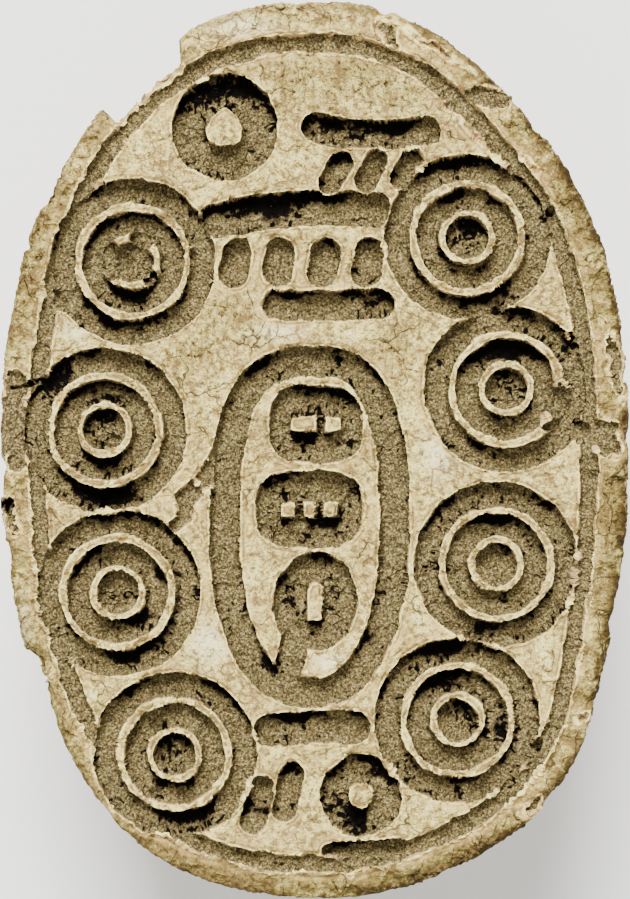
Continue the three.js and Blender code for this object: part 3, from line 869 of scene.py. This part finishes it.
# %% Weathering
# Four kinds of wear are added up: roughness, chips at the lips, small pits, and flat flakes that have come
# off, each a little deeper or less deep than the next.
fine, soft = carver_noise(5.0, 30, 4.0, 0.7)["Fac"], carver_noise(0.7, 31, 3.0)["Fac"]
rough = reckon("ADD", carver_ramp(fine, 0.3, 0.75), carver_ramp(soft, 0.3, 0.7))
rough = product_of(rough, given["Roughness"], 0.5)
near_lip = carver_ramp(reckon("ABSOLUTE", stored(carver, "lip")), 0.02 * MM, 0.2 * MM, 1.0, 0.0)
chip_here = carver_ramp(carver_noise(2.6, 32, 3.0, 0.6)["Fac"], 0.46, 0.6)
chipped = product_of(near_lip, chip_here, given["Chip Depth"])
pit_here = carver_ramp(carver_noise(4.5, 33, 2.0)["Fac"], 0.66, 0.74)
bend = carver_noise(1.6, 34, 3.0)["Color"]
place = add_node(carver, "GeometryNodeInputPosition").outputs[0]
bent = vector_node(carver, "MULTIPLY_ADD", bend, (0.7 * MM,) * 3, place)
plates = add_node(carver, "ShaderNodeTexVoronoi", {"Vector": bent, "Scale": 1.5 / MM}, feature="F1")
plate_drop = add_node(carver, "ShaderNodeSeparateXYZ", {0: plates.outputs["Color"]}).outputs["X"]
flaked_and_pitted = reckon(
    "ADD", product_of(pit_here, given["Pit Depth"]), product_of(plate_drop, given["Plate Height"])
)
worn = reckon("ADD", reckon("ADD", rough, chipped), flaked_and_pitted)
move = {"Geometry": stone, "Offset": scaled(carver, normal, reckon("MULTIPLY", worn, -1.0))}
stone = add_node(carver, "GeometryNodeSetPosition", move).outputs[0]
finished = {
    "Geometry": add_node(carver, "GeometryNodeRealizeInstances", {"Geometry": stone}).outputs[0],
    "Material": given["Material"],
}
finished = add_node(carver, "GeometryNodeSetMaterial", finished).outputs[0]
carver.links.new(finished, result["Geometry"])
print(f"the carver has {len(carver.nodes)} nodes")

# %% [markdown]
# The stone is a soft, light one that has lain in the ground. The raised face is cream with tan patches
# and hairline cracks, darker towards the rim, partly as painted shade that is least at the top. The floors
# of the cuts are olive brown and full of specks. Black lies under the upper edge of each cut: partly soil,
# and partly a painted shadow of that edge. The lips of the grooves are rubbed light, with a painted
# highlight along them. The hidden side is paler and plainer. All of this is one material, because it is
# one stone. It tells these places apart by the numbers left on the points and by their height, and breaks
# each border up with noise, so that no two places look alike.

# %% Colours of the stone


def paint(red, green, blue):
    """A colour as a screen shows it, turned into the light values that the shader wants."""
    return tuple(((part / 255 + 0.055) / 1.055) ** 2.4 for part in (red, green, blue)) + (1.0,)


CREAM, IVORY, CHALK = paint(208, 189, 114), paint(244, 229, 148), paint(242, 228, 174)
KHAKI, TAN, FLAKE = paint(196, 177, 104), paint(182, 152, 98), paint(122, 100, 60)
WALL_TAN = paint(196, 164, 112)
OLIVE, OLIVE_DARK, SAND = paint(122, 108, 68), paint(68, 57, 38), paint(190, 174, 124)
PEACH = paint(218, 187, 114)
UNDERSIDE = paint(208, 194, 150)
# Multiplied in: painted shade on the rim and its outer edge, and a darker stain on pitted patches.
RIM_SHADE_AND_PIT_STAIN, OUTER_EDGE_SHADE = (0.65, 0.63, 0.58, 1.0), (0.61, 0.57, 0.49, 1.0)
# The near black is for soil and for the painted shadow under the upper edges of the cuts.
SOIL_AND_SHADOW_BLACK, UMBER, EDGE_BROWN = paint(8, 5, 2), paint(52, 38, 26), paint(94, 77, 42)
stone_material = bpy.data.materials.new("engraved_stone")
stone_material.use_nodes = True
surface = stone_material.node_tree
surface.nodes.clear()


def surface_value(name):
    return add_node(surface, "ShaderNodeAttribute", attribute_name=name).outputs["Fac"]


def mix_colours(share, first, second, blend="MIX"):
    inputs = {0: share, 6: first, 7: second}
    return add_node(surface, "ShaderNodeMix", inputs, data_type="RGBA", blend_type=blend).outputs[2]


def grain(scale, detail=3.0, roughness=0.6, vector=None):
    """Noise on the object's own coordinates, with so many waves to the millimetre."""
    inputs = {"Vector": vector or object_place, "Scale": scale / MM}
    inputs |= {"Detail": detail, "Roughness": roughness}
    return add_node(surface, "ShaderNodeTexNoise", inputs).outputs["Fac"]


def calculate(operation, *values):
    return math_node(surface, operation, *values)


def fade(value, low, high, to_low=0.0, to_high=1.0):
    return ramp(surface, value, low, high, to_low, to_high)


def product(*values):
    total = values[0]
    for value in values[1:]:
        total = calculate("MULTIPLY", total, value)
    return total


object_place = add_node(surface, "ShaderNodeTexCoord").outputs["Object"]
cut_depth, lip_distance, key_shadow = (surface_value(name) for name in ("cut", "lip", "key_shadow"))
rim, chalk, pitted, soil = (surface_value(name) for name in ("rim", "chalk", "pitted", "soil"))
clouds, blotches, patches = grain(0.35, 2), grain(0.9, 2), grain(1.5, 4, 0.7)
flecks, specks = grain(6, 3, 0.8), grain(16, 2, 0.9)
STREAK_DEGREES, STREAK_STRETCH = -50, 0.25
streak_turn = {
    "Vector": object_place,
    "Rotation": (0, 0, math.radians(STREAK_DEGREES)),
    "Scale": (1.0, STREAK_STRETCH, 1.0),
}
streak_place = add_node(surface, "ShaderNodeMapping", streak_turn).outputs[0]
streaks = grain(7, 2, 0.7, vector=streak_place)

field = mix_colours(fade(clouds, 0.34, 0.58), CREAM, KHAKI)
# Each layer has the noise it follows, where it starts and is full, its greatest share, and its paint.
FIELD_LAYERS = [
    (patches, 0.53, 0.66, 0.8, IVORY),
    (patches, 0.5, 0.38, 0.75, TAN),
    (flecks, 0.53, 0.61, 0.75, IVORY),
    (flecks, 0.49, 0.37, 0.95, FLAKE),
    (specks, 0.49, 0.37, 0.8, FLAKE),
]
for source, start, full, most, tone in FIELD_LAYERS:
    field = mix_colours(fade(source, start, full, 0, most), field, tone)
field = mix_colours(product(fade(streaks, 0.5, 0.36), pitted, 0.85), field, FLAKE)
field = mix_colours(product(fade(flecks, 0.42, 0.36), pitted), field, UMBER)
field = mix_colours(product(chalk, fade(flecks, 0.3, 0.5)), field, CHALK)
place_parts = add_node(surface, "ShaderNodeSeparateXYZ", {0: object_place}).outputs
to_right = fade(place_parts["X"], -2 * MM, 4 * MM, 0.25, 1.0)
off_top = fade(place_parts["Y"], 10.4 * MM, 8.6 * MM, 0.15, 1.0)
at_bottom = fade(place_parts["Y"], -8.8 * MM, -10.2 * MM, 0, 0.8)
near_face = fade(place_parts["Z"], (HEIGHT - 1.3) * MM, (HEIGHT - 0.5) * MM, 0.15, 1.0)
hidden = fade(place_parts["Z"], (HEIGHT - 0.8) * MM, (HEIGHT - 1.8) * MM)
# Brown along the upper part of the outer edge, in patches, stronger towards the right.
outer_edge_brown = product(fade(rim, 0.58, 0.88), fade(patches, 0.64, 0.5, 0.35, 1.0))
field = mix_colours(product(outer_edge_brown, to_right, near_face), field, EDGE_BROWN)

# Painted shade: the rim is darker than the field, most of all at its outer edge, where it turns away, and
# at the bottom, and least at the top, the side that the light comes from. The last entry darkens the
# pitted patches, a stain.
painted_shade_and_pit_stain = [
    (product(fade(rim, 0.03, 0.25), fade(patches, 0.66, 0.46, 0.6, 1.0), off_top, near_face), RIM_SHADE_AND_PIT_STAIN),
    (product(fade(rim, 0.05, 0.2), at_bottom, near_face), RIM_SHADE_AND_PIT_STAIN),
    (product(fade(rim, 0.72, 0.95), fade(flecks, 0.6, 0.44, 0.4, 1.0), off_top, near_face), OUTER_EDGE_SHADE),
    (product(pitted, fade(blotches, 0.6, 0.4, 0.7, 1.0)), RIM_SHADE_AND_PIT_STAIN),
]
for share, tone in painted_shade_and_pit_stain:
    field = mix_colours(share, field, tone, "MULTIPLY")
field = mix_colours(product(hidden, 0.4), field, UNDERSIDE)
print("the raised face has its colours")

# %% Cracks and flakes
bend = add_node(surface, "ShaderNodeTexNoise", {"Vector": object_place, "Scale": 1.6 / MM, "Detail": 2.0})
bent_inputs = {0: bend.outputs["Color"], 1: (0.7 * MM,) * 3, 2: object_place}
bent_place = add_node(surface, "ShaderNodeVectorMath", bent_inputs, operation="MULTIPLY_ADD").outputs[0]


def crack_lines(scale, width):
    """Thin lines between cells, about one over the scale apart in millimetres."""
    inputs = {"Vector": bent_place, "Scale": scale / MM}
    cells = add_node(surface, "ShaderNodeTexVoronoi", inputs, feature="DISTANCE_TO_EDGE")
    return fade(cells.outputs["Distance"], width * 0.3, width, 1.0, 0.0)


cracks_on_rim = product(fade(rim, 0.1, 0.2), fade(patches, 0.62, 0.54))
crack_places = calculate("MAXIMUM", fade(clouds, 0.52, 0.57), cracks_on_rim)
long_cracks = product(crack_lines(0.75, 0.017), crack_places)
flake_edges = product(crack_lines(1.9, 0.06), fade(patches, 0.56, 0.48))
colour = mix_colours(product(flake_edges, 0.75), field, FLAKE)
colour = mix_colours(product(long_cracks, 0.85), colour, UMBER)
print("the raised face has its cracks")

# %% Floors, walls and lips
floor_colour = mix_colours(fade(specks, 0.42, 0.55), OLIVE_DARK, OLIVE)
floor_colour = mix_colours(fade(specks, 0.57, 0.67, 0, 0.85), floor_colour, SAND)
floor_colour = mix_colours(fade(specks, 0.38, 0.33, 0, 0.6), floor_colour, UMBER)
floor_colour = mix_colours(fade(flecks, 0.6, 0.72, 0, 0.4), floor_colour, TAN)
ragged_depth = calculate("ADD", cut_depth, product(calculate("SUBTRACT", flecks, 0.5), 0.3 * MM))
at_top = fade(cut_depth, 0.1 * MM, 0.03 * MM)
wall_colour = mix_colours(hidden, WALL_TAN, OLIVE)
colour = mix_colours(fade(ragged_depth, 0.03 * MM, 0.08 * MM), colour, wall_colour)
colour = mix_colours(fade(ragged_depth, 0.14 * MM, 0.22 * MM), colour, floor_colour)

warm_edge = product(fade(lip_distance, 0.26 * MM, 0.1 * MM), fade(blotches, 0.42, 0.6, 0.1, 0.6))
colour = mix_colours(product(warm_edge, at_top), colour, PEACH)
# A pale line along each lip: rubbed wear, and a painted highlight where the edge would catch the light.
lip_wear_and_highlight = product(fade(lip_distance, 0.07 * MM, 0.03 * MM), at_top, fade(hidden, 0.0, 1.0, 1.0, 0.2))
colour = mix_colours(product(lip_wear_and_highlight, fade(patches, 0.4, 0.52, 0.3, 0.95)), colour, IVORY)
outer_line = product(
    fade(lip_distance, 0.06 * MM, 0.09 * MM), fade(lip_distance, 0.15 * MM, 0.1 * MM)
)
colour = mix_colours(product(outer_line, fade(patches, 0.56, 0.48, 0, 0.75)), colour, FLAKE)
print("the cuts have their floors, walls and lips")

# %% Soil and painted shadow in the cuts
soil_patches = calculate("ADD", fade(blotches, 0.4, 0.6, -0.65, 0.06), product(soil, 0.7))
soil_clusters = product(fade(patches, 0.56, 0.66), fade(ragged_depth, 0.3 * MM, 0.4 * MM), 0.5)
ragged = product(calculate("SUBTRACT", calculate("ADD", flecks, specks), 1.0), 0.9)
# The share of rays that meet stone paints the shadow of the upper edges. It is added to the soil patches,
# and where the sum is high, deep cuts turn umber and then black.
soil_and_shadow_wish = calculate("ADD", calculate("ADD", key_shadow, soil_patches), soil_clusters)
soil_and_shadow_wish = calculate("ADD", soil_and_shadow_wish, ragged)
deep = fade(cut_depth, 0.31 * MM, 0.38 * MM)
colour = mix_colours(product(fade(soil_and_shadow_wish, 0.54, 0.66), deep, 0.5), colour, UMBER)
colour = mix_colours(product(fade(soil_and_shadow_wish, 0.7, 0.73), deep), colour, SOIL_AND_SHADOW_BLACK)
print(f"the stone's material has {len(surface.nodes)} nodes so far")

# %% Gloss and fine grain
grain_height = calculate("ADD", product(specks, 0.5), flecks)
bump_inputs = {"Height": grain_height, "Strength": 1.0, "Distance": 0.06 * MM}
bumped = add_node(surface, "ShaderNodeBump", bump_inputs)
shader = add_node(
    surface,
    "ShaderNodeBsdfPrincipled",
    {
        "Base Color": colour,
        "Roughness": fade(flecks, 0.3, 0.7, 0.74, 0.94),
        "Normal": bumped.outputs[0],
        "IOR": 1.5,
        "Specular IOR Level": 0.06,
    },
)
add_node(surface, "ShaderNodeOutputMaterial", {"Surface": shader.outputs[0]})
print(f"the stone's material has {len(surface.nodes)} nodes")

# %% [markdown]
# Now the carver is put on the blank. A modifier keeps its settings by the socket's identifier, so they are
# set through a small function that looks each name up. The result is copied into a plain mesh.

# %% Carve the blank


def run_tree(target, tree, values):
    """Puts a tree on an object and sets its named inputs."""
    modifier = target.modifiers.new(tree.name, "NODES")
    modifier.node_group = tree
    for socket in tree.interface.items_tree:
        if socket.in_out == "INPUT" and socket.name in values:
            modifier[socket.identifier] = values[socket.name]


def plain_copy(target, name):
    """The finished shape of an object, as a new object without modifiers."""
    graph = bpy.context.evaluated_depsgraph_get()
    finished = target.evaluated_get(graph)
    mesh = bpy.data.meshes.new_from_object(finished, preserve_all_data_layers=True, depsgraph=graph)
    mesh.name = name
    made = bpy.data.objects.new(name, mesh)
    bpy.context.scene.collection.objects.link(made)
    return made


run_tree(blank, carver, {**PATH_OBJECTS, "Material": stone_material})
carved = plain_copy(blank, "carved")
print(f"the carved blank has {len(carved.data.polygons)} faces")

# %% [markdown]
# A seal like this was worn on a cord or a metal wire, so a hole runs through its length under the plate.
# A long cylinder is taken out of the stone with a boolean. Then the mesh is thinned where it is flat,
# because a seal that is used in a larger scene shouldn't weigh more than it shows.

# %% Drill the hole and thin the mesh
import bmesh
from mathutils import Matrix

HOLE = {"radius": 0.9, "z": 6.35, "sides": 72, "length": 1.3}
MOST_TRIANGLES = 196000
drill_mesh = bpy.data.meshes.new("drill")
shape = bmesh.new()
bmesh.ops.create_cone(
    shape,
    cap_ends=True,
    cap_tris=True,
    segments=HOLE["sides"],
    radius1=HOLE["radius"] * MM,
    radius2=HOLE["radius"] * MM,
    depth=HOLE["length"] * LENGTH * MM,
)
bmesh.ops.rotate(shape, verts=shape.verts, matrix=Matrix.Rotation(math.pi / 2, 3, "X"))
bmesh.ops.translate(shape, verts=shape.verts, vec=(0, 0, HOLE["z"] * MM))
shape.to_mesh(drill_mesh)
shape.free()
drill = bpy.data.objects.new("drill", drill_mesh)
bpy.context.scene.collection.objects.link(drill)


def triangle_count(target):
    return sum(len(face.vertices) - 2 for face in target.data.polygons)


boring = carved.modifiers.new("boring", "BOOLEAN")
boring.solver = "MANIFOLD"
boring.operation = "DIFFERENCE"
boring.object = drill
bored = plain_copy(carved, "bored")
thinning = bored.modifiers.new("thinning", "DECIMATE")
thinning.ratio = MOST_TRIANGLES / triangle_count(bored)
print(f"bored: {len(bored.data.polygons)} faces, to be thinned to {thinning.ratio:.3f}")

# %% [markdown]
# Soil stays where nothing has rubbed it away, under the upper edges, and a painted shadow of those edges
# is laid there too. Each point of the stone sends a few rays towards the top of the face, the side that
# the key light comes from, from low to steep. The share of them that meets stone is kept as a number,
# a painted shadow, and the material lays the black by it together with the soil patches.

# %% The painted shadow of each point
RAY_ANGLES = (40, 50, 60, 68, 76)
HELD_BACK, SLIVER = 0.002 * MM, 1e-5 * MM
KEPT_NUMBERS = ("cut", "lip", "rim", "chalk", "pitted", "soil")
carry_and_shadow, given, result = new_tree("carry_and_shadow", {
    "Carved": ("Object", None),
    "Reach": ("Float", 1.3 * MM),
    "Clearance": ("Float", 0.012 * MM),
    "Material": ("Material", None),
})
whole = add_node(carry_and_shadow, "GeometryNodeObjectInfo", {"Object": given["Carved"]}).outputs["Geometry"]
thinned = given["Geometry"]
for name in KEPT_NUMBERS:
    sampled = {"Mesh": whole, "Value": stored(carry_and_shadow, name)}
    nearest_value = add_node(carry_and_shadow, "GeometryNodeSampleNearestSurface", sampled).outputs[0]
    thinned = store(carry_and_shadow, thinned, name, nearest_value)

place = add_node(carry_and_shadow, "GeometryNodeInputPosition").outputs[0]
facing = add_node(carry_and_shadow, "GeometryNodeInputNormal").outputs["Normal"]
ray_start = vector_node(carry_and_shadow, "ADD", place, scaled(carry_and_shadow, facing, given["Clearance"]))
hits = 0.0
for degrees in RAY_ANGLES:
    direction = (0.0, math.cos(math.radians(degrees)), math.sin(math.radians(degrees)))
    ray_inputs = {"Target Geometry": whole, "Source Position": ray_start}
    ray_inputs |= {"Ray Direction": direction, "Ray Length": given["Reach"]}
    ray = add_node(carry_and_shadow, "GeometryNodeRaycast", ray_inputs)
    hits = math_node(carry_and_shadow, "ADD", hits, ray.outputs["Is Hit"])
# The share of rays towards the key light's side that meet stone, kept as a painted shadow.
key_shadow_share = math_node(carry_and_shadow, "DIVIDE", hits, float(len(RAY_ANGLES)))
thinned = store(carry_and_shadow, thinned, "key_shadow", key_shadow_share)
finished = add_node(carry_and_shadow, "GeometryNodeRealizeInstances", {"Geometry": thinned}).outputs[0]
finished = {"Geometry": finished, "Material": given["Material"]}
finished = add_node(carry_and_shadow, "GeometryNodeSetMaterial", finished).outputs[0]
carry_and_shadow.links.new(finished, result["Geometry"])

run_tree(bored, carry_and_shadow, {"Carved": carved, "Material": stone_material})
carved.modifiers.clear()
seal = plain_copy(bored, "carved_scarab")
if not seal.data.materials:
    seal.data.materials.append(stone_material)
for name in ("raised", "band", *[f"hand_{hand}" for hand in range(HANDS)]):
    if name in seal.data.attributes:
        seal.data.attributes.remove(seal.data.attributes[name])

# %% Keep it inside the frame and sound
# A few points stray past the frame's box by some hundredths of a millimetre, and are held back.
places = np.empty(len(seal.data.vertices) * 3, np.float32)
seal.data.vertices.foreach_get("co", places)
lowest, highest = np.array(node_low) + HELD_BACK, np.array(node_high) - HELD_BACK
seal.data.vertices.foreach_set("co", np.clip(places.reshape(-1, 3), lowest, highest).ravel())
sound = bmesh.new()
sound.from_mesh(seal.data)
bmesh.ops.dissolve_degenerate(sound, dist=SLIVER, edges=sound.edges)
open_edges = sum(len(edge.link_faces) != 2 for edge in sound.edges)
sound.to_mesh(seal.data)
sound.free()
print(f"the seal has {open_edges} open edges")
print(f"the seal has {triangle_count(seal)} triangles")

# %% Put the tools away
for helper in [blank, carved, bored, drill, *PATH_OBJECTS.values()]:
    bpy.data.objects.remove(helper)
for tree in (carver, carry_and_shadow, line_tool, area_tool):
    bpy.data.node_groups.remove(tree)
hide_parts("scarab")
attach(seal, "root")
print(f"{seal.name} takes the solid's place")

# %% [markdown]
# The camera looks straight down on the engraved face, from a little over nine centimetres, and its frame
# is filled by the oval as in the photograph. It stands a hair lower than the length alone would ask,
# because the rounded edge makes the oval look smaller. The main light comes over the top of the face at a
# middling height, so every upper edge throws a short shadow into its cut, and a pale surround fills the
# rest.

# %% Camera, floor and light
LENS, SENSOR = 135.0, 36.0
CAMERA_LOWER = 0.3
FLOOR_HALF = 600
camera_data = bpy.data.cameras.new("camera")
camera_data.lens = LENS
camera_data.sensor_width = SENSOR
camera_data.clip_start = 1 * MM
camera = bpy.data.objects.new("camera", camera_data)
camera.location = (0, 0, (HEIGHT - CAMERA_LOWER + LENGTH * LENS / SENSOR) * MM)
bpy.context.scene.collection.objects.link(camera)
bpy.context.scene.camera = camera

floor_corners = [(x * FLOOR_HALF, y * FLOOR_HALF, 0) for x, y in ((-1, -1), (1, -1), (1, 1), (-1, 1))]
floor = mesh_object("floor", floor_corners, faces=[(0, 1, 2, 3)])
floor_material = bpy.data.materials.new("pale_floor")
floor_material.use_nodes = True
floor_shader = floor_material.node_tree.nodes["Principled BSDF"]
floor_shader.inputs["Base Color"].default_value = (0.93, 0.93, 0.92, 1)
floor_shader.inputs["Roughness"].default_value = 0.9
floor.data.materials.append(floor_material)


def area_light(name, power, size, distance, azimuth, elevation):
    """A square light that looks at the middle of the seal from a direction."""
    data = bpy.data.lights.new(name, "AREA")
    data.energy = power
    data.size = size
    light = bpy.data.objects.new(name, data)
    turn, lift = math.radians(azimuth), math.radians(elevation)
    light.location = (
        distance * math.cos(lift) * math.cos(turn),
        distance * math.cos(lift) * math.sin(turn),
        distance * math.sin(lift) + HEIGHT * MM,
    )
    light.rotation_euler = (math.pi / 2 - lift, 0, turn + math.pi / 2)
    bpy.context.scene.collection.objects.link(light)


area_light("key", power=7.5, size=0.2, distance=0.5, azimuth=98, elevation=50)
area_light("fill", power=1.2, size=0.4, distance=0.6, azimuth=250, elevation=60)
world = bpy.data.worlds.new("surround")
bpy.context.scene.world = world
world.use_nodes = True
world.node_tree.nodes["Background"].inputs["Color"].default_value = (1, 1, 1, 1)
world.node_tree.nodes["Background"].inputs["Strength"].default_value = 0.68
print(f"the camera is {camera.location.z / MM:.1f} mm up")
